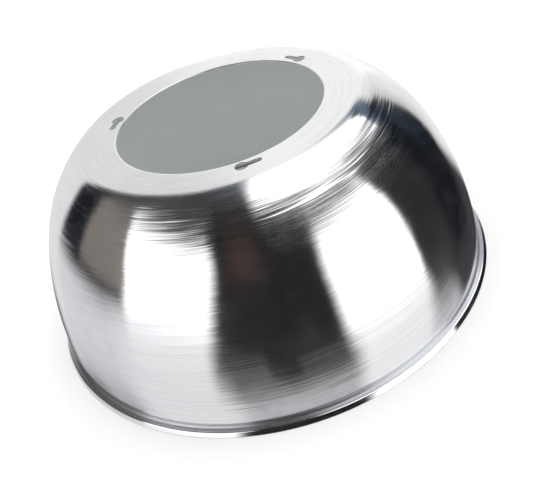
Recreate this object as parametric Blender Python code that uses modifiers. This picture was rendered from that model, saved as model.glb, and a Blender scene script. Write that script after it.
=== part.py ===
"""Domed reflector shade of a heat lamp, in metres, +Z up.

A bowl is spun from aluminium sheet. Its flat top has a round opening for the lamp and keyhole slots
that hang it on the lamp housing's screws. Its lower edge turns out and is folded round a wire.
A matte coating covers the inner face. The origin is the rim's centre, on the plane the rim rests on.
"""

import math

import bmesh
import bpy

PART_NAME = "heat_lamp_reflector"

# Bowl, measured on its outer face.
HEIGHT = 0.144
RIM_RADIUS = 0.170
OPENING_RADIUS = 0.0755
WALL_END_RADIUS = 0.1645
SHOULDER_BEND = 0.023
SHOULDER_SLOPE = math.radians(35.5)
HAUNCH_BEND = 0.109
HAUNCH_SLOPE = math.radians(66)
WALL_SLOPE = math.radians(90)

# Sheet, coating, and the gap kept between pieces that touch.
SHEET = 0.0008
COATING = 0.0003
GAP = 0.0003

# Rim: a fillet turns the wall out to a level flange. The flange turns down in a steep lip, whose foot is
# folded back in and up, so that the rim rests on a level hem.
RIM_DEPTH = 0.0038
FILLET_BEND = 0.0016
CREST_BEND = 0.001
LIP_SLOPE = math.radians(66)
FOOT_BEVEL = 0.001
HEM_RADIUS = 0.1655
HEM_TOP = 0.0026
WIRE_CENTRE = (0.1674, RIM_DEPTH / 2)
WIRE_RADIUS = RIM_DEPTH / 2 - SHEET - GAP

# The wall's bend and the width of the flat top follow from the sizes above.
WALL_BEND = (
    HEIGHT
    - RIM_DEPTH
    - FILLET_BEND
    - SHOULDER_BEND * (1 - math.cos(SHOULDER_SLOPE))
    - HAUNCH_BEND * (math.cos(SHOULDER_SLOPE) - math.cos(HAUNCH_SLOPE))
) / (math.cos(HAUNCH_SLOPE) - math.cos(WALL_SLOPE))
FLAT_RADIUS = (
    WALL_END_RADIUS
    - SHOULDER_BEND * math.sin(SHOULDER_SLOPE)
    - HAUNCH_BEND * (math.sin(HAUNCH_SLOPE) - math.sin(SHOULDER_SLOPE))
    - WALL_BEND * (math.sin(WALL_SLOPE) - math.sin(HAUNCH_SLOPE))
)

# Keyholes: a round end that a screw head passes, and a slot that its shank slides along.
KEYHOLES = 3
KEYHOLE_CIRCLE = 0.082
KEYHOLE_FIRST = math.radians(-87.4)
HEAD_HOLE_RADIUS = 0.0045
SLOT_HALF_WIDTH = 0.0022
SLOT_TRAVEL = 0.0116

# Facets.
TURN_STEPS = 60
SHOULDER_STEPS = 4
HAUNCH_STEPS = 5
WALL_STEPS = 5
FILLET_STEPS = 3
CREST_STEPS = 2
WIRE_STEPS = 8
HEAD_HOLE_STEPS = 14
SLOT_END_STEPS = 6


def add_bend(path, slope, end_slope, bend, steps):
    """Carry path on along an arc. A slope of 0 runs level outwards, and one of 90 degrees drops."""
    side = math.copysign(1, end_slope - slope) * bend
    centre = (path[-1][0] - side * math.sin(slope), path[-1][1] - side * math.cos(slope))
    for step in range(1, steps + 1):
        angle = slope + (end_slope - slope) * step / steps
        path.append((centre[0] + side * math.sin(angle), centre[1] + side * math.cos(angle)))


def bowl_path(inset):
    """(radius, height) points from the opening down to the wall's end, inset from the bowl's outer face."""
    path = [(OPENING_RADIUS, HEIGHT - inset), (FLAT_RADIUS, HEIGHT - inset)]
    add_bend(path, 0, SHOULDER_SLOPE, SHOULDER_BEND - inset, SHOULDER_STEPS)
    add_bend(path, SHOULDER_SLOPE, HAUNCH_SLOPE, HAUNCH_BEND - inset, HAUNCH_STEPS)
    add_bend(path, HAUNCH_SLOPE, WALL_SLOPE, WALL_BEND - inset, WALL_STEPS)
    return path


def rim_path():
    """Points of the fillet, the flange, the lip and the hem folded under it."""
    path = [(WALL_END_RADIUS, RIM_DEPTH + FILLET_BEND)]
    add_bend(path, WALL_SLOPE, 0, FILLET_BEND, FILLET_STEPS)
    # The bevel at the lip's foot halves the turn from the lip to the level hem.
    bevel_slope = (LIP_SLOPE + math.pi) / 2
    lip_foot = (RIM_RADIUS, FOOT_BEVEL * math.sin(bevel_slope))
    crest_corner = lip_foot[0] - (RIM_DEPTH - lip_foot[1]) / math.tan(LIP_SLOPE)
    path.append((crest_corner - CREST_BEND * math.tan(LIP_SLOPE / 2), RIM_DEPTH))
    add_bend(path, 0, LIP_SLOPE, CREST_BEND, CREST_STEPS)
    path.append(lip_foot)
    path.append((RIM_RADIUS + FOOT_BEVEL * math.cos(bevel_slope), 0))
    path.append((HEM_RADIUS, 0))
    path.append((HEM_RADIUS, HEM_TOP))
    return path[1:]


def keyhole_outline():
    """Points round a keyhole whose round end is at the origin and whose slot runs towards +X."""
    meet = math.asin(SLOT_HALF_WIDTH / HEAD_HOLE_RADIUS)
    sweep = 2 * (math.pi - meet)
    head = [
        (HEAD_HOLE_RADIUS * math.cos(angle), HEAD_HOLE_RADIUS * math.sin(angle))
        for angle in (meet + sweep * step / HEAD_HOLE_STEPS for step in range(HEAD_HOLE_STEPS + 1))
    ]
    slot_end = [
        (SLOT_TRAVEL + SLOT_HALF_WIDTH * math.cos(angle), SLOT_HALF_WIDTH * math.sin(angle))
        for angle in (math.pi * (step / SLOT_END_STEPS - 0.5) for step in range(SLOT_END_STEPS + 1))
    ]
    return head + slot_end


def new_collection(name):
    collection = bpy.data.collections.new(name)
    bpy.context.scene.collection.children.link(collection)
    return collection


def new_material(name, colour, roughness, metallic):
    material = bpy.data.materials.new(name)
    material.use_nodes = True
    shader = material.node_tree.nodes["Principled BSDF"]
    shader.inputs["Base Color"].default_value = (*colour, 1)
    shader.inputs["Roughness"].default_value = roughness
    shader.inputs["Metallic"].default_value = metallic
    return material


def turned_sheet(name, path, thickness, material, collection):
    """A sheet of this thickness turned round Z, whose outer face follows path."""
    mesh = bpy.data.meshes.new(name)
    edges = [(point, point + 1) for point in range(len(path) - 1)]
    mesh.from_pydata([(radius, 0, height) for radius, height in path], edges, [])
    mesh.materials.append(material)
    sheet = bpy.data.objects.new(name, mesh)
    collection.objects.link(sheet)
    turn = sheet.modifiers.new("turn", "SCREW")
    turn.steps = turn.render_steps = TURN_STEPS
    turn.merge_threshold = 0.00001
    turn.use_smooth_shade = True
    thicken = sheet.modifiers.new("thicken", "SOLIDIFY")
    thicken.thickness = thickness
    thicken.offset = -1
    thicken.use_even_offset = True
    return sheet


def add_keyhole_cutter(angle, collection):
    """A block in the shape of one keyhole, through the flat top at this angle round Z."""
    curve = bpy.data.curves.new("keyhole_outline", "CURVE")
    curve.dimensions = "2D"
    curve.fill_mode = "BOTH"
    curve.extrude = 4 * SHEET
    outline = keyhole_outline()
    spline = curve.splines.new("POLY")
    spline.points.add(len(outline) - 1)
    spline.use_cyclic_u = True
    for point, (x, y) in zip(spline.points, outline):
        point.co = (x, y, 0, 1)
    flat = bpy.data.objects.new("keyhole_outline", curve)
    collection.objects.link(flat)
    evaluated = flat.evaluated_get(bpy.context.evaluated_depsgraph_get())
    mesh = bpy.data.meshes.new_from_object(evaluated)
    bpy.data.objects.remove(flat)
    weld = bmesh.new()
    weld.from_mesh(mesh)
    bmesh.ops.remove_doubles(weld, verts=weld.verts, dist=0.00001)
    weld.to_mesh(mesh)
    weld.free()
    cutter = bpy.data.objects.new("keyhole_cutter", mesh)
    collection.objects.link(cutter)
    # The slot's chord turns from the tangent by half the angle between its two ends.
    half_travel = math.asin(SLOT_TRAVEL / 2 / KEYHOLE_CIRCLE)
    cutter.location = (KEYHOLE_CIRCLE * math.cos(angle), KEYHOLE_CIRCLE * math.sin(angle), HEIGHT)
    cutter.rotation_euler.z = angle + math.pi / 2 + half_travel
    cutter.hide_render = True
    cutter.display_type = "WIRE"


def cut_keyholes(sheet, cutters):
    cut = sheet.modifiers.new("keyholes", "BOOLEAN")
    cut.operation = "DIFFERENCE"
    cut.solver = "EXACT"
    cut.operand_type = "COLLECTION"
    cut.collection = cutters


def add_reflector_shell(parts, cutters):
    aluminium = new_material("spun_aluminium", (0.80, 0.81, 0.82), 0.25, 1)
    shell = turned_sheet("reflector_shell", bowl_path(0) + rim_path(), SHEET, aluminium, parts)
    cut_keyholes(shell, cutters)


def add_inner_coating(parts, cutters):
    coat = new_material("matte_coating", (0.82, 0.83, 0.83), 0.8, 0)
    coating = turned_sheet("inner_coating", bowl_path(SHEET + GAP), COATING, coat, parts)
    cut_keyholes(coating, cutters)


def add_rim_wire(parts):
    steel = new_material("galvanised_steel", (0.55, 0.56, 0.57), 0.45, 1)
    bpy.ops.mesh.primitive_torus_add(
        location=(0, 0, WIRE_CENTRE[1]),
        major_radius=WIRE_CENTRE[0],
        minor_radius=WIRE_RADIUS,
        major_segments=TURN_STEPS,
        minor_segments=WIRE_STEPS,
    )
    wire = bpy.context.object
    wire.name = "rim_wire"
    wire.data.materials.append(steel)
    wire.data.shade_smooth()
    for collection in wire.users_collection:
        collection.objects.unlink(wire)
    parts.objects.link(wire)


def main():
    for leftover in list(bpy.data.objects):
        bpy.data.objects.remove(leftover)
    parts = new_collection(PART_NAME)
    cutters = new_collection("cutters")
    for index in range(KEYHOLES):
        add_keyhole_cutter(KEYHOLE_FIRST + 2 * math.pi * index / KEYHOLES, cutters)
    add_reflector_shell(parts, cutters)
    add_inner_coating(parts, cutters)
    add_rim_wire(parts)


main()
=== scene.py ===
"""Looks of a heat lamp's reflector shade, in metres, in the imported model's frame.

The spun aluminium shell and the coat inside it are built again as fine meshes that carry exact normals,
because polished metal shows every facet, and the wire in the rim is a curve. They stand on a pale floor
in a white studio whose soft boxes and dark screens the metal reflects.
"""

import math

import bpy
from mathutils import Matrix, Vector
from mathutils.geometry import tessellate_polygon


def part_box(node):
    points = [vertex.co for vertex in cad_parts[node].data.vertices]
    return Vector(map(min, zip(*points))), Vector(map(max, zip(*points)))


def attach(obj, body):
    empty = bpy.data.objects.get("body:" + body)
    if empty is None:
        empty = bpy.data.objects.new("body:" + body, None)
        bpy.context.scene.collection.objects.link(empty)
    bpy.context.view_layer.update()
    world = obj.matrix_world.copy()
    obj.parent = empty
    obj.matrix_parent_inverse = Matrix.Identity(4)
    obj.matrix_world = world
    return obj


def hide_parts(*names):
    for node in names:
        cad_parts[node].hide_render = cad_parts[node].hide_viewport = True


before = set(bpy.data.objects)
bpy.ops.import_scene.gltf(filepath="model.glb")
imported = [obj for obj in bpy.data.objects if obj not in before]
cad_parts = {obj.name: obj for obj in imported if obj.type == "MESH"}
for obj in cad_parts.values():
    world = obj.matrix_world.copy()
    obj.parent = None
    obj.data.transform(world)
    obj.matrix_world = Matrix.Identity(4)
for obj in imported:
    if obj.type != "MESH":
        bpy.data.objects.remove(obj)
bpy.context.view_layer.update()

# Sizes that the frame gives.
_, SHELL_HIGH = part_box("reflector_shell")
WIRE_LOW, WIRE_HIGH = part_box("rim_wire")
HEIGHT = SHELL_HIGH.z
RIM_RADIUS = SHELL_HIGH.x
FLANGE_Z = WIRE_LOW.z + WIRE_HIGH.z
WIRE_RADIUS = (WIRE_HIGH.z - WIRE_LOW.z) / 2
WIRE_CENTRE_RADIUS = WIRE_HIGH.x - WIRE_RADIUS

# Sizes of the bowl and its rim that the frame's boxes don't give, the same as the CAD model's.
OPENING_RADIUS = 0.0755
WALL_END_RADIUS = 0.1645
SHOULDER_BEND = 0.023
SHOULDER_SLOPE = math.radians(35.5)
HAUNCH_BEND = 0.109
HAUNCH_SLOPE = math.radians(66)
WALL_SLOPE = math.radians(90)
SHEET = 0.0008
FILLET_BEND = 0.0016
CREST_BEND = 0.001
LIP_SLOPE = math.radians(66)
HEM_BEND = 0.0005
HEM_RADIUS = 0.1655
HEM_TOP = 0.0026
WALL_BEND = (
    HEIGHT
    - FLANGE_Z
    - FILLET_BEND
    - SHOULDER_BEND * (1 - math.cos(SHOULDER_SLOPE))
    - HAUNCH_BEND * (math.cos(SHOULDER_SLOPE) - math.cos(HAUNCH_SLOPE))
) / (math.cos(HAUNCH_SLOPE) - math.cos(WALL_SLOPE))
FLAT_RADIUS = (
    WALL_END_RADIUS
    - SHOULDER_BEND * math.sin(SHOULDER_SLOPE)
    - HAUNCH_BEND * (math.sin(HAUNCH_SLOPE) - math.sin(SHOULDER_SLOPE))
    - WALL_BEND * (math.sin(WALL_SLOPE) - math.sin(HAUNCH_SLOPE))
)

# Both ends of each keyhole lie on the circle.
KEYHOLES = 3
KEYHOLE_CIRCLE = 0.082
KEYHOLE_FIRST = math.radians(-87.4)
HEAD_HOLE_RADIUS = 0.0045
SLOT_HALF_WIDTH = 0.0022
SLOT_TRAVEL = 0.0116

# Depths of the coat's faces below the sheet's upper face. The coat lies on the sheet here, without the gap
# that the CAD model keeps.
COAT_UPPER = SHEET + 0.00002
COAT_LOWER = SHEET + 0.0003

# A cut edge is rolled over at the top, where the punch went in, for this width and a depth in proportion.
OPENING_ROLL = 0.0016
KEYHOLE_ROLL = 0.00018
ROLL_DEPTH_TO_WIDTH = 0.2
# The bend of the coat's edges and of the sheet's lower ones.
SMALL_ROLL = 0.00008

# The two cut ends of the wire nearly meet.
BUTT_GAP = 0.0006

# Mesh density.
TURNS = 360
LONGEST_STEP = 0.0025
WIDEST_STEP = math.radians(10)
TIGHTEST_BEND = 0.00005
HEAD_STEPS = 40
SLOT_END_STEPS = 16
ROLL_STEPS = 6
WIRE_TURNS = 240
WIRE_ROUNDNESS = 4

# Rings that the spinning tool leaves and scratches along them, per metre of radius less height, which
# grows steadily down the whole outer face.
FINE_RINGS = 1150.0
BROAD_RINGS = 300.0
SWAYING_RINGS = 1500.0
TORN_RINGS = 1300.0
SCRATCH_RINGS = 1100.0

# How far the rings tilt the surface up or down, and sway it sideways.
FINE_TILT = 0.17
DEEP_TILT = 2.1
BROAD_TILT = 0.05
SWAY = 0.022

# Stretches of radius less height over which the outer face's finish changes, and how deep the rings run on
# the flat top and on the wall, against 1 round the haunch.
SHOULDER = (-0.052, -0.030)
HAUNCH_TO_WALL = (-0.02, 0.04)
# Between CORNER_START and CORNER_END the rim's corner is rougher, and painted shade darkens its colour.
CORNER_START = (0.1582, 0.1600)
CORNER_END = (0.1637, 0.1643)
RINGS_ON_TOP = 0.10
RINGS_ON_WALL = 0.25

# Colours of the bare metal and of the painted shade in the rim's corner, its roughness where it is
# polished, and how much rougher the rest is.
BRIGHT = (0.885, 0.886, 0.888, 1)
CLOUDED = (0.845, 0.848, 0.856, 1)
SCRATCHED = (0.74, 0.745, 0.76, 1)
CORNER_PAINTED_SHADE = (0.60, 0.62, 0.66, 1)
POLISHED_ROUGHNESS = 0.115
CLOUDED_ROUGHER = 0.06
TORN_ROUGHER = 0.11
UNPOLISHED_ROUGHER = 0.27

# How much of the metal the dull film in scratches and smears hides.
SCRATCH_FILM = 0.016
SMEAR_FILM = 0.012

# Camera.
CAMERA_PLACE = (0.00386, -0.51405, 0.39257)
CAMERA_TILT = math.radians(90 - 35.77)
CAMERA_ROLL = math.radians(-17.73)
CAMERA_LENS = 54.16

# Light. Matte surfaces see a dome that grows brighter from its horizon to its top.
DOME_STRENGTH = 1.3
DOME_HORIZON = 0.55
DOME_RISE = 0.6
INSIDE_LIGHT_POWER = 0.015
INSIDE_LIGHT_WIDTH = 1.8 * OPENING_RADIUS
SOFT_BOX = (1.5, 1.5, 1.52)
OVERHEAD_BOX = (1.9, 1.9, 1.92)
WHITE = (1, 1, 1, 1)
FLOOR_COLOUR = (0.95, 0.95, 0.95, 1)
FLOOR_HALF_WIDTH = 6


# ---------------------------------------------------------------- profile of the sheet


def bend_on(path, end_slope, bend):
    """Carry a path of (radius, height, slope) on along an arc.

    A slope of 0 runs level outwards, and one of 90 degrees drops.
    """
    radius, height, slope = path[-1]
    turn = end_slope - slope
    side = math.copysign(bend, turn)
    steps = math.ceil(max(abs(turn) / WIDEST_STEP, abs(turn) * bend / LONGEST_STEP))
    centre = (radius - side * math.sin(slope), height - side * math.cos(slope))
    for step in range(1, steps + 1):
        angle = slope + turn * step / steps
        path.append((centre[0] + side * math.sin(angle), centre[1] + side * math.cos(angle), angle))


def bowl_path(inset):
    """Down one face of the sheet from the edge of the flat top to the end of the wall."""
    path = [(FLAT_RADIUS, HEIGHT - inset, 0)]
    bend_on(path, SHOULDER_SLOPE, SHOULDER_BEND - inset)
    bend_on(path, HAUNCH_SLOPE, HAUNCH_BEND - inset)
    bend_on(path, WALL_SLOPE, WALL_BEND - inset)
    return path


def turn_corner(path, corner, end_slope, bend, inset):
    """Go straight on and bend round a corner of the sheet's outer face, keeping inset inside that face."""
    slope = path[-1][2]
    half_turn = math.tan((end_slope - slope) / 2)
    inner_bend = max(bend - inset, TIGHTEST_BEND)
    # Along the sheet the inset corner lies this much short of the outer one, and its arc starts earlier.
    short = (inset + inner_bend) * half_turn
    radius = corner[0] - inset * math.sin(slope) - short * math.cos(slope)
    height = corner[1] - inset * math.cos(slope) + short * math.sin(slope)
    path.append((radius, height, slope))
    bend_on(path, end_slope, inner_bend)


def shell_path(inset):
    """Down one face of the whole sheet: bowl, fillet, flange, lip and hem."""
    path = bowl_path(inset)
    bend_on(path, 0, FILLET_BEND + inset)
    # The lip's line touches the hem's bend, which touches the rim's radius and the ground.
    foot = RIM_RADIUS - HEM_BEND + HEM_BEND * math.tan((math.pi - LIP_SLOPE) / 2)
    turn_corner(path, (foot - FLANGE_Z / math.tan(LIP_SLOPE), FLANGE_Z), LIP_SLOPE, CREST_BEND, inset)
    turn_corner(path, (foot, 0), math.pi, HEM_BEND, inset)
    turn_corner(path, (HEM_RADIUS, 0), math.pi * 1.5, HEM_BEND, inset)
    path.append((HEM_RADIUS + inset, HEM_TOP, math.pi * 1.5))
    return path


def closed_section(upper, lower, thickness):
    """Both faces of a sheet as one path, joined by a round end."""
    section = list(upper)
    bend_on(section, section[-1][2] + math.pi, thickness / 2)
    return section + [(r, z, slope + math.pi) for r, z, slope in reversed(lower[:-1])]


def cut_edge(upper, lower, roll_width, roll_depth):
    """Round a cut edge, from the upper face to the lower: (distance back from the cut, height, slope).

    The first ROLL_STEPS strips are the roll-over, and the others the cut and its lower corner.
    """
    edge = []
    for step in range(ROLL_STEPS + 1):
        angle = math.pi / 2 * step / ROLL_STEPS
        back = roll_width * (1 - math.sin(angle))
        height = HEIGHT - upper - roll_depth * (1 - math.cos(angle))
        edge.append((back, height, math.atan2(math.sin(angle) / roll_width, math.cos(angle) / roll_depth)))
    edge.append((0, HEIGHT - lower + SMALL_ROLL, math.pi / 2))
    edge.append((SMALL_ROLL / 2, HEIGHT - lower + SMALL_ROLL / 4, math.pi * 0.75))
    edge.append((SMALL_ROLL, HEIGHT - lower, math.pi))
    return edge


# ---------------------------------------------------------------- meshes with exact normals


def circle_outline(radius):
    """(x, y) points round a circle, each with the direction that points at the axis."""
    outline = []
    for turn in range(TURNS):
        angle = 2 * math.pi * turn / TURNS
        x, y = math.cos(angle), math.sin(angle)
        outline.append((radius * x, radius * y, -x, -y))
    return outline


def keyhole_outline(back, angle):
    """(x, y) points round the keyhole at this angle, moved back from its cut, with directions into it."""
    head, half_width = HEAD_HOLE_RADIUS + back, SLOT_HALF_WIDTH + back
    meet = math.asin(half_width / head)
    local = []
    for step in range(HEAD_STEPS + 1):
        turn = meet + 2 * (math.pi - meet) * step / HEAD_STEPS
        local.append((head * math.cos(turn), head * math.sin(turn), -math.cos(turn), -math.sin(turn)))
    for step in range(SLOT_END_STEPS + 1):
        turn = math.pi * (step / SLOT_END_STEPS - 0.5)
        x, y = math.cos(turn), math.sin(turn)
        local.append((SLOT_TRAVEL + half_width * x, half_width * y, -x, -y))
    heading = angle + math.pi / 2 + math.asin(SLOT_TRAVEL / 2 / KEYHOLE_CIRCLE)
    c, s = math.cos(heading), math.sin(heading)
    centre_x, centre_y = KEYHOLE_CIRCLE * math.cos(angle), KEYHOLE_CIRCLE * math.sin(angle)
    return [
        (centre_x + c * x - s * y, centre_y + s * x + c * y, c * nx - s * ny, s * nx + c * ny)
        for x, y, nx, ny in local
    ]


class Surface:
    """A mesh in the making. Each vertex gets the normal that the real surface has there."""

    def __init__(self):
        self.places = []
        self.normals = []
        self.faces = []
        self.finishes = []

    def loop(self, outline, height, slope):
        """A closed row of vertices whose normals lean by slope from +Z towards the outline's directions."""
        first = len(self.places)
        for x, y, nx, ny in outline:
            self.places.append((x, y, height))
            self.normals.append((nx * math.sin(slope), ny * math.sin(slope), math.cos(slope)))
        return list(range(first, len(self.places)))

    def bridge(self, loops, finish=0):
        """Quads between each loop and the next."""
        for upper, lower in zip(loops, loops[1:]):
            for here in range(len(upper)):
                after = (here + 1) % len(upper)
                self.faces.append((upper[here], lower[here], lower[after], upper[after]))
                self.finishes.append(finish)

    def fill(self, loops, up):
        """A flat face bounded by the first loop, with the other loops as holes in it."""
        flat = [vertex for loop in loops for vertex in loop]
        outlines = [[Vector(self.places[vertex][:2]) for vertex in loop] for loop in loops]
        for corners in tessellate_polygon(outlines):
            a, b, c = (flat[corner] for corner in corners)
            ax, ay, _ = self.places[a]
            bx, by, _ = self.places[b]
            cx, cy, _ = self.places[c]
            anticlockwise = (bx - ax) * (cy - ay) > (by - ay) * (cx - ax)
            self.faces.append((a, b, c) if anticlockwise == up else (a, c, b))
            self.finishes.append(0)

    def make_object(self, name, materials):
        """A smooth object in which each face has the material that its finish counts to."""
        mesh = bpy.data.meshes.new(name)
        mesh.from_pydata(self.places, [], self.faces)
        for material in materials:
            mesh.materials.append(material)
        mesh.polygons.foreach_set("material_index", self.finishes)
        mesh.shade_smooth()
        mesh.normals_split_custom_set_from_vertices(self.normals)
        piece = bpy.data.objects.new(name, mesh)
        bpy.context.scene.collection.objects.link(piece)
        return piece


def build_sheet(name, section, upper_rows, opening_edge, keyhole_edge, materials):
    """A turned sheet: its flat top has the lamp opening and the keyholes, its section is turned round Z.

    The first material covers the upper face, which takes up the first upper_rows points of the section.
    The second covers the cuts, and the last the lower face.
    """
    surface = Surface()
    turned = []
    for radius, height, slope in section:
        outline = [(x, y, -nx, -ny) for x, y, nx, ny in circle_outline(radius)]
        turned.append(surface.loop(outline, height, slope))
    surface.bridge(turned[:upper_rows])
    surface.bridge(turned[upper_rows - 1 :], finish=len(materials) - 1)
    opening = []
    for back, height, slope in opening_edge:
        opening.append(surface.loop(circle_outline(OPENING_RADIUS + back), height, slope))
    holes = [opening]
    for index in range(KEYHOLES):
        angle = KEYHOLE_FIRST + 2 * math.pi * index / KEYHOLES
        keyhole = []
        for back, height, slope in keyhole_edge:
            keyhole.append(surface.loop(keyhole_outline(back, angle), height, slope))
        holes.append(keyhole)
    for hole in holes:
        backwards = [loop[::-1] for loop in hole]
        surface.bridge(backwards[: ROLL_STEPS + 1])
        surface.bridge(backwards[ROLL_STEPS:], finish=min(1, len(materials) - 1))
    surface.fill([turned[0]] + [hole[0] for hole in holes], up=True)
    surface.fill([turned[-1]] + [hole[-1] for hole in holes], up=False)
    return surface.make_object(name, materials)


# ---------------------------------------------------------------- node helpers


class Nodes:
    """Short ways to add nodes to a tree."""

    def __init__(self, tree):
        self.tree = tree

    def add(self, kind, inputs=None, **settings):
        node = self.tree.nodes.new(kind)
        for name, value in settings.items():
            setattr(node, name, value)
        for name, value in (inputs or {}).items():
            self.feed(node.inputs[name], value)
        return node

    def feed(self, socket, value):
        if isinstance(value, bpy.types.NodeSocket):
            self.tree.links.new(value, socket)
        else:
            socket.default_value = value

    def math(self, operation, *values):
        node = self.add("ShaderNodeMath", operation=operation)
        for socket, value in zip(node.inputs, values):
            self.feed(socket, value)
        return node.outputs[0]

    def vector(self, operation, *values, scale=None):
        node = self.add("ShaderNodeVectorMath", operation=operation)
        for socket, value in zip(node.inputs, values):
            self.feed(socket, value)
        if scale is not None:
            self.feed(node.inputs["Scale"], scale)
        return node.outputs["Value" if operation == "LENGTH" else "Vector"]

    def ramp(self, value, low, high, start=0.0, end=1.0):
        """A smooth change from start, where value is low, to end, where it is high."""
        node = self.add(
            "ShaderNodeMapRange",
            {"Value": value, "From Min": low, "From Max": high, "To Min": start, "To Max": end},
            interpolation_type="SMOOTHSTEP",
        )
        return node.outputs["Result"]

    def mix(self, factor, first, second):
        node = self.add("ShaderNodeMix", data_type="RGBA")
        self.feed(node.inputs["Factor"], factor)
        self.feed(node.inputs["A"], first)
        self.feed(node.inputs["B"], second)
        return node.outputs["Result"]

    def noise(self, vector, scale, detail=2.0, roughness=0.5):
        node = self.add(
            "ShaderNodeTexNoise",
            {"Vector": vector, "Scale": scale, "Detail": detail, "Roughness": roughness},
        )
        return node.outputs["Fac"]


def new_material(name):
    """A material, its nodes and its shader."""
    material = bpy.data.materials.new(name)
    material.use_nodes = True
    return material, Nodes(material.node_tree), material.node_tree.nodes["Principled BSDF"]


# ---------------------------------------------------------------- materials


def spun_aluminium():
    """Bright metal whose fine rings, cut round the axis by the spinning tool, smear its reflections."""
    material, n, shader = new_material("spun_aluminium")
    place = n.add("ShaderNodeTexCoord").outputs["Object"]
    split = n.add("ShaderNodeSeparateXYZ", {"Vector": place})
    flat = n.vector("MULTIPLY", place, (1.0, 1.0, 0.0))
    radius = n.vector("LENGTH", flat)
    outwards = n.vector("NORMALIZE", flat)
    # Radius less height numbers the rings.
    ring = n.math("SUBTRACT", radius, split.outputs["Z"])

    def ring_noise(rings_per_metre, patches_round, detail):
        """Noise about 0, drawn out along the rings. More patches_round make shorter streaks."""
        across = n.vector("SCALE", (0.0, 0.0, 1.0), scale=n.math("MULTIPLY", ring, rings_per_metre))
        drawn = n.vector("ADD", n.vector("SCALE", outwards, scale=patches_round), across)
        return n.math("SUBTRACT", n.noise(drawn, 1.0, detail), 0.5)

    # The rings run deepest round the haunch. Most hardly tilt the surface, and a few catch the lights.
    fine = ring_noise(FINE_RINGS, 2.8, 1.0)
    deep = n.math("MULTIPLY", n.math("MULTIPLY", fine, n.math("ABSOLUTE", fine)), DEEP_TILT)
    fine_and_deep = n.math("ADD", n.math("MULTIPLY", fine, FINE_TILT), deep)
    broad = n.math("MULTIPLY", ring_noise(BROAD_RINGS, 1.5, 2.0), BROAD_TILT)
    spun = n.ramp(ring, *SHOULDER, RINGS_ON_TOP, 1.0)
    worked = n.math("MULTIPLY", spun, n.ramp(ring, *HAUNCH_TO_WALL, 1.0, RINGS_ON_WALL))
    tilt = n.math("MULTIPLY", n.math("ADD", fine_and_deep, broad), worked)
    sway = n.math("MULTIPLY", n.math("MULTIPLY", ring_noise(SWAYING_RINGS, 3.0, 1.0), SWAY), spun)

    normal = n.add("ShaderNodeNewGeometry").outputs["Normal"]
    around = n.vector("CROSS_PRODUCT", (0.0, 0.0, 1.0), outwards)
    downhill = n.vector("CROSS_PRODUCT", around, normal)
    lean = n.vector("ADD", n.vector("SCALE", downhill, scale=tilt), n.vector("SCALE", around, scale=sway))
    n.feed(shader.inputs["Normal"], n.vector("NORMALIZE", n.vector("ADD", normal, lean)))

    # Cloudy patches are a little darker and duller, and torn metal along the rings is duller too.
    clouds = n.ramp(n.noise(place, 26.0, 4.0, 0.6), 0.45, 0.75)
    tone = n.mix(clouds, BRIGHT, CLOUDED)
    torn = n.ramp(ring_noise(TORN_RINGS, 3.0, 1.0), -0.05, 0.25, 0.0, TORN_ROUGHER)
    torn = n.math("MULTIPLY", torn, worked)
    # Fine scratches along the rings and smears of polish hold a trace of dull film.
    scratches = n.ramp(ring_noise(SCRATCH_RINGS, 2.0, 1.5), -0.05, 0.22)
    drawn_down = n.vector("MULTIPLY", place, (1.0, 1.0, 0.6))
    smears = n.ramp(n.noise(drawn_down, 60.0, 4.0, 0.6), 0.50, 0.70)
    smear_film = n.math("MULTIPLY", smears, SMEAR_FILM)
    film = n.math("ADD", n.math("MULTIPLY", scratches, SCRATCH_FILM), smear_film)
    n.feed(shader.inputs["Metallic"], n.math("SUBTRACT", 1.0, film))
    worn = n.mix(n.math("MULTIPLY", scratches, 0.5), tone, SCRATCHED)
    # The polishing wheel doesn't reach into the corner of the rim, so the metal is rougher there. The
    # corner's darker colour is painted shade.
    corner = n.math("MULTIPLY", n.ramp(ring, *CORNER_START), n.ramp(ring, *CORNER_END, 1.0, 0.0))
    colour = n.mix(n.math("MULTIPLY", corner, 0.75), worn, CORNER_PAINTED_SHADE)
    n.feed(shader.inputs["Base Color"], colour)
    rough = n.math("ADD", POLISHED_ROUGHNESS, n.math("MULTIPLY", clouds, CLOUDED_ROUGHER))
    rough = n.math("ADD", n.math("ADD", rough, torn), n.math("MULTIPLY", corner, UNPOLISHED_ROUGHER))
    n.feed(shader.inputs["Roughness"], rough)
    # The reflections are drawn out across the rings.
    shader.inputs["Anisotropic"].default_value = 0.9
    shader.inputs["Anisotropic Rotation"].default_value = 0.25
    tangent = n.add("ShaderNodeTangent", direction_type="RADIAL", axis="Z").outputs["Tangent"]
    n.feed(shader.inputs["Tangent"], tangent)
    return material


def sheared_edge():
    """The bare cut through the sheet: dull, with fine marks from the punch, and painted dark grey as shade
    along the cuts.
    """
    material, n, shader = new_material("sheared_edge")
    place = n.add("ShaderNodeTexCoord").outputs["Object"]
    marks = n.noise(n.vector("MULTIPLY", place, (3000.0, 3000.0, 400.0)), 1.0)
    # The dark grey colours are painted shade, which draws a dark line along each cut.
    n.feed(shader.inputs["Base Color"], n.mix(marks, (0.26, 0.26, 0.27, 1), (0.44, 0.44, 0.44, 1)))
    n.feed(shader.inputs["Roughness"], n.ramp(marks, 0.3, 0.7, 0.6, 0.8))
    bump = n.add("ShaderNodeBump", {"Height": marks, "Strength": 0.3, "Distance": 0.00005})
    n.feed(shader.inputs["Normal"], bump.outputs["Normal"])
    shader.inputs["Metallic"].default_value = 0.8
    return material


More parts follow.
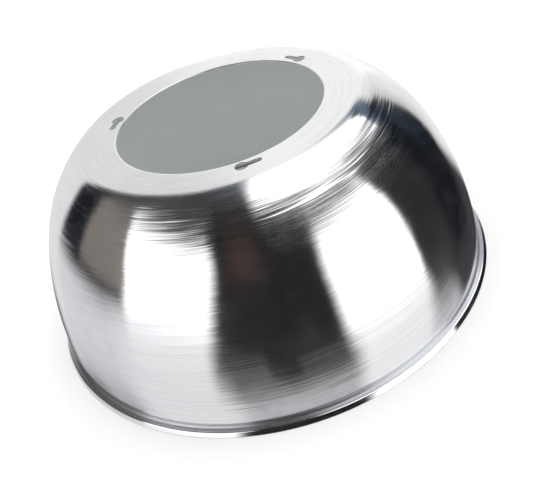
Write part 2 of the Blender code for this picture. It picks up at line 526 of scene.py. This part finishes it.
def matte_coating():
    """White powder coat with a faint orange peel."""
    material, n, shader = new_material("matte_coating")
    place = n.add("ShaderNodeTexCoord").outputs["Object"]
    cloud = n.noise(place, 30.0, 3.0)
    peel = n.noise(place, 900.0, 2.0)
    n.feed(shader.inputs["Base Color"], n.mix(cloud, (0.838, 0.86, 0.865, 1), (0.865, 0.883, 0.886, 1)))
    n.feed(shader.inputs["Roughness"], n.ramp(peel, 0.3, 0.7, 0.7, 0.85))
    bump = n.add("ShaderNodeBump", {"Height": peel, "Strength": 0.4, "Distance": 0.0001})
    n.feed(shader.inputs["Normal"], bump.outputs["Normal"])
    shader.inputs["Specular IOR Level"].default_value = 0.3
    return material


def galvanised_steel():
    """Dull grey zinc with a faint spangle."""
    material, n, shader = new_material("galvanised_steel")
    place = n.add("ShaderNodeTexCoord").outputs["Object"]
    spangle = n.add("ShaderNodeTexVoronoi", {"Vector": place, "Scale": 900.0}).outputs["Color"]
    tone = n.add("ShaderNodeRGBToBW", {"Color": spangle}).outputs["Val"]
    n.feed(shader.inputs["Base Color"], n.mix(tone, (0.50, 0.51, 0.53, 1), (0.60, 0.61, 0.62, 1)))
    n.feed(shader.inputs["Roughness"], n.ramp(tone, 0.2, 0.8, 0.38, 0.55))
    shader.inputs["Metallic"].default_value = 1.0
    return material


# ---------------------------------------------------------------- pieces


def add_reflector_shell(coating):
    """The whole sheet. Its lower face looks sprayed too, inside the rim where the coat itself has ended."""
    outer = shell_path(0)
    section = closed_section(outer, shell_path(SHEET), SHEET)
    opening_edge = cut_edge(0, SHEET, OPENING_ROLL, OPENING_ROLL * ROLL_DEPTH_TO_WIDTH)
    keyhole_edge = cut_edge(0, SHEET, KEYHOLE_ROLL, KEYHOLE_ROLL * ROLL_DEPTH_TO_WIDTH)
    materials = [spun_aluminium(), sheared_edge(), coating]
    shell = build_sheet("spun_shell", section, len(outer), opening_edge, keyhole_edge, materials)
    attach(shell, "root")
    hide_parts("reflector_shell")


def add_inner_coating(coating):
    """The coat, from the flat top to the end of the wall."""
    upper = bowl_path(COAT_UPPER)
    section = closed_section(upper, bowl_path(COAT_LOWER), COAT_LOWER - COAT_UPPER)
    edge = cut_edge(COAT_UPPER, COAT_LOWER, SMALL_ROLL, SMALL_ROLL)
    coat = build_sheet("powder_coat", section, len(upper), edge, edge, [coating])
    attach(coat, "root")
    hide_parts("inner_coating")


def add_rim_wire():
    """A ring of wire whose two cut ends butt together."""
    curve = bpy.data.curves.new("rolled_in_wire", "CURVE")
    curve.dimensions = "3D"
    curve.bevel_depth = WIRE_RADIUS
    curve.bevel_resolution = WIRE_ROUNDNESS
    curve.use_fill_caps = True
    spline = curve.splines.new("POLY")
    spline.points.add(WIRE_TURNS)
    sweep = 2 * math.pi - BUTT_GAP / WIRE_CENTRE_RADIUS
    for index, point in enumerate(spline.points):
        angle = sweep * index / WIRE_TURNS
        x, y = WIRE_CENTRE_RADIUS * math.cos(angle), WIRE_CENTRE_RADIUS * math.sin(angle)
        point.co = (x, y, FLANGE_Z / 2, 1)
    curve.materials.append(galvanised_steel())
    wire = bpy.data.objects.new("rolled_in_wire", curve)
    bpy.context.scene.collection.objects.link(wire)
    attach(wire, "root")
    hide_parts("rim_wire")


# ---------------------------------------------------------------- studio


def add_floor():
    """A wide pale floor that reflections don't see."""
    mesh = bpy.data.meshes.new("floor")
    signs = ((-1, -1), (1, -1), (1, 1), (-1, 1))
    corners = [(FLOOR_HALF_WIDTH * x, FLOOR_HALF_WIDTH * y, 0) for x, y in signs]
    mesh.from_pydata(corners, [], [(0, 1, 2, 3)])
    floor = bpy.data.objects.new("floor", mesh)
    bpy.context.scene.collection.objects.link(floor)
    material, _, shader = new_material("pale_floor")
    shader.inputs["Base Color"].default_value = FLOOR_COLOUR
    shader.inputs["Roughness"].default_value = 1.0
    shader.inputs["Specular IOR Level"].default_value = 0.0
    mesh.materials.append(material)
    floor.visible_glossy = False


def add_studio():
    """The white room, and the soft boxes and screens that only reflections see.

    Azimuths run anticlockwise from +X, and the camera stands at -90 degrees.
    """
    world = bpy.data.worlds.new("studio")
    bpy.context.scene.world = world
    world.use_nodes = True
    world.cycles.sampling_method = "NONE"
    n = Nodes(world.node_tree)
    direction = n.add("ShaderNodeTexCoord").outputs["Generated"]
    split = n.add("ShaderNodeSeparateXYZ", {"Vector": direction})
    x, y, z = (split.outputs[axis] for axis in "XYZ")
    azimuth = n.math("DEGREES", n.math("ARCTAN2", y, x))
    elevation = n.math("DEGREES", n.math("ARCSINE", z))

    def window(value, low, high, soft_low, soft_high):
        """1 where value lies between low and high, with soft ends."""
        rise = n.ramp(value, low - soft_low, low + soft_low)
        fall = n.ramp(value, high - soft_high, high + soft_high, 1.0, 0.0)
        return n.math("MULTIPLY", rise, fall)

    def panel(studio, sides, levels, colour, soft=(2.0, 6.0, 8.0), lean=0.0, bow=0.0, slope=0.0):
        """Paint a screen between two azimuths and two elevations, in degrees, over the studio so far.

        soft is how far its sides, its foot and its top fade. lean turns it by so many degrees for each
        degree of height, and bow by so many times the square of the height in tens of degrees. slope raises
        it by so many degrees for each degree of azimuth.
        """
        middle, half = (sides[0] + sides[1]) / 2, (sides[1] - sides[0]) / 2
        turned = n.math("SUBTRACT", azimuth, middle)
        if lean:
            turned = n.math("SUBTRACT", turned, n.math("MULTIPLY", elevation, lean))
        if bow:
            turned = n.math("SUBTRACT", turned, n.math("MULTIPLY", height_squared, bow))
        turned = n.math("WRAP", turned, 180.0, -180.0)
        across = n.ramp(n.math("ABSOLUTE", turned), half - soft[0], half + soft[0], 1.0, 0.0)
        level = n.math("SUBTRACT", elevation, n.math("MULTIPLY", turned, slope)) if slope else elevation
        mask = n.math("MULTIPLY", across, window(level, *levels, *soft[1:]))
        return n.mix(mask, studio, (*colour, 1))

    tens = n.math("MULTIPLY", n.math("MAXIMUM", elevation, 0.0), 0.1)
    height_squared = n.math("MULTIPLY", tens, tens)

    # Dark room with a dark ceiling.
    studio = n.mix(n.ramp(elevation, 20.0, 55.0), (0.017, 0.0155, 0.015, 1), (0.049, 0.047, 0.046, 1))
    # The table, which the soft boxes light up below themselves.
    studio = panel(studio, (-225, 21), (-100, -34), (0.60, 0.60, 0.62), soft=(7, 5, 8))
    studio = panel(studio, (125, 200), (-100, -6), (0.72, 0.725, 0.75), soft=(8, 5, 8))
    studio = panel(studio, (134, 176), (-100, -34), (0.40, 0.40, 0.42), soft=(9, 5, 10))
    studio = panel(studio, (100, 150), (-100, -38), (0.10, 0.10, 0.10), soft=(8, 5, 4))
    studio = panel(studio, (-180, 180), (-100, -50), (0.12, 0.12, 0.12), soft=(1, 5, 5))
    studio = panel(studio, (-178, -126), (-80, -5), (0.80, 0.805, 0.82), soft=(7, 5, 5))
    studio = panel(studio, (-60, -12), (-80, -22), (0.93, 0.935, 0.945), soft=(6, 5, 5))
    # Upright soft boxes, the left one with a long faint glow below it.
    studio = panel(studio, (-170, -104), (-21, 10), (0.88, 0.885, 0.90), soft=(3, 13, 5), bow=-1.0)
    studio = panel(studio, (-168.5, -105), (-5, 45), SOFT_BOX, soft=(2, 8, 9), bow=-1.0)
    studio = panel(studio, (-90, -14), (-23, 34.5), SOFT_BOX, soft=(2, 7, 8))
    # Dark screens between and beside the soft boxes.
    studio = panel(
        studio, (-123.5, -82), (-26.5, 70), (0.020, 0.0175, 0.019), soft=(4, 12, 20), lean=0.3, bow=-0.65
    )
    studio = panel(studio, (-98, -64), (-31, 70), (0.017, 0.0155, 0.015), soft=(4, 12, 20), bow=0.55)
    studio = panel(studio, (-112, -95), (20, 52), (0.048, 0.031, 0.028), soft=(6, 8, 8))
    # Brownish and black screens behind on the left.
    studio = panel(studio, (150, 191.5), (4, 42), (0.23, 0.205, 0.19), soft=(3, 5, 8), bow=-1.1)
    studio = panel(studio, (120, 158), (-1, 34), (0.008, 0.010, 0.014), soft=(3, 4, 8), bow=-1.1)
    # White backdrop behind the shade, brighter to its right, over a dark floor and beside a dark gap.
    studio = panel(studio, (89, 138), (-29, 46), (0.80, 0.80, 0.81), soft=(3, 4, 6), bow=-2.0)
    studio = panel(studio, (43, 91), (-29, 36), (0.70, 0.70, 0.70), soft=(2, 4, 5), slope=0.35)
    studio = panel(studio, (50, 91), (-29, 37), (0.88, 0.88, 0.87), soft=(4, 4, 4), slope=0.35)
    studio = panel(studio, (64, 91), (-29, 39), (0.98, 0.985, 0.98), soft=(4, 4, 6), slope=0.2)
    studio = panel(studio, (61, 93), (-8, 20), (1.15, 1.15, 1.15), soft=(4, 8, 8))
    studio = panel(studio, (-13, 137), (-65, -31.5), (0.050, 0.050, 0.052), soft=(3, 4, 3), slope=-0.58)
    studio = panel(studio, (-14, 22), (-20, 24), (0.021, 0.0205, 0.021), soft=(2, 8, 8))
    # Black screen on the right, with a bluish sheen.
    studio = panel(studio, (12, 42), (-30, 30), (0.007, 0.008, 0.011), soft=(6, 6, 8))
    studio = panel(studio, (29, 40), (-6, 26), (0.014, 0.021, 0.033), soft=(4, 5, 6))
    studio = panel(studio, (26, 76), (29, 36), (0.11, 0.15, 0.21), soft=(9, 2.5, 2.5), slope=0.16)
    # Overhead soft box, measured in its own height above the shade. Its right side slants, and a bluish
    # sheen lies along its left side.
    above = n.math("MAXIMUM", z, 0.001)
    over_x, over_y = n.math("DIVIDE", x, above), n.math("DIVIDE", y, above)
    beside = n.math("MULTIPLY", window(over_x, -0.12, 0.1, 0.14, 0.1), window(over_y, -0.1, 1.0, 0.3, 0.1))
    studio = n.mix(n.math("MULTIPLY", beside, 0.6), studio, (0.10, 0.12, 0.16, 1))
    slanted = n.math("SUBTRACT", over_x, n.math("MULTIPLY", over_y, 0.6))
    sides = n.math("MULTIPLY", n.ramp(over_x, -0.03, 0.08), n.ramp(slanted, 0.78, 1.24, 1.0, 0.0))
    falling = n.math("ADD", over_y, n.math("MULTIPLY", over_x, 0.08))
    overhead = n.math("MULTIPLY", sides, window(falling, -0.40, 1.0, 0.07, 0.05))
    studio = n.mix(overhead, studio, (*OVERHEAD_BOX, 1))

    path = n.add("ShaderNodeLightPath").outputs
    rising = n.math("ADD", n.math("MULTIPLY", z, DOME_RISE), DOME_HORIZON)
    dome = n.mix(path["Is Camera Ray"], n.math("MULTIPLY", rising, DOME_STRENGTH), WHITE)
    seen = n.mix(path["Is Glossy Ray"], dome, studio)
    n.feed(world.node_tree.nodes["Background"].inputs["Color"], seen)


def add_inside_light():
    """A weak light in the opening, facing down, that neither the camera nor reflections see."""
    data = bpy.data.lights.new("inside_light", "AREA")
    data.shape = "DISK"
    data.size = INSIDE_LIGHT_WIDTH
    data.energy = INSIDE_LIGHT_POWER
    light = bpy.data.objects.new("inside_light", data)
    bpy.context.scene.collection.objects.link(light)
    light.location = (0, 0, HEIGHT)
    light.visible_camera = False
    light.visible_glossy = False


def add_camera():
    """A camera in front of the shade and above it, rolled to the right."""
    data = bpy.data.cameras.new("camera")
    data.lens = CAMERA_LENS
    camera = bpy.data.objects.new("camera", data)
    bpy.context.scene.collection.objects.link(camera)
    turn = Matrix.Rotation(CAMERA_TILT, 4, "X") @ Matrix.Rotation(CAMERA_ROLL, 4, "Z")
    camera.matrix_world = Matrix.Translation(CAMERA_PLACE) @ turn
    bpy.context.scene.camera = camera


bpy.context.scene.view_settings.view_transform = "Standard"
add_camera()
add_studio()
add_floor()
add_inside_light()
coating = matte_coating()
add_reflector_shell(coating)
add_inner_coating(coating)
add_rim_wire()
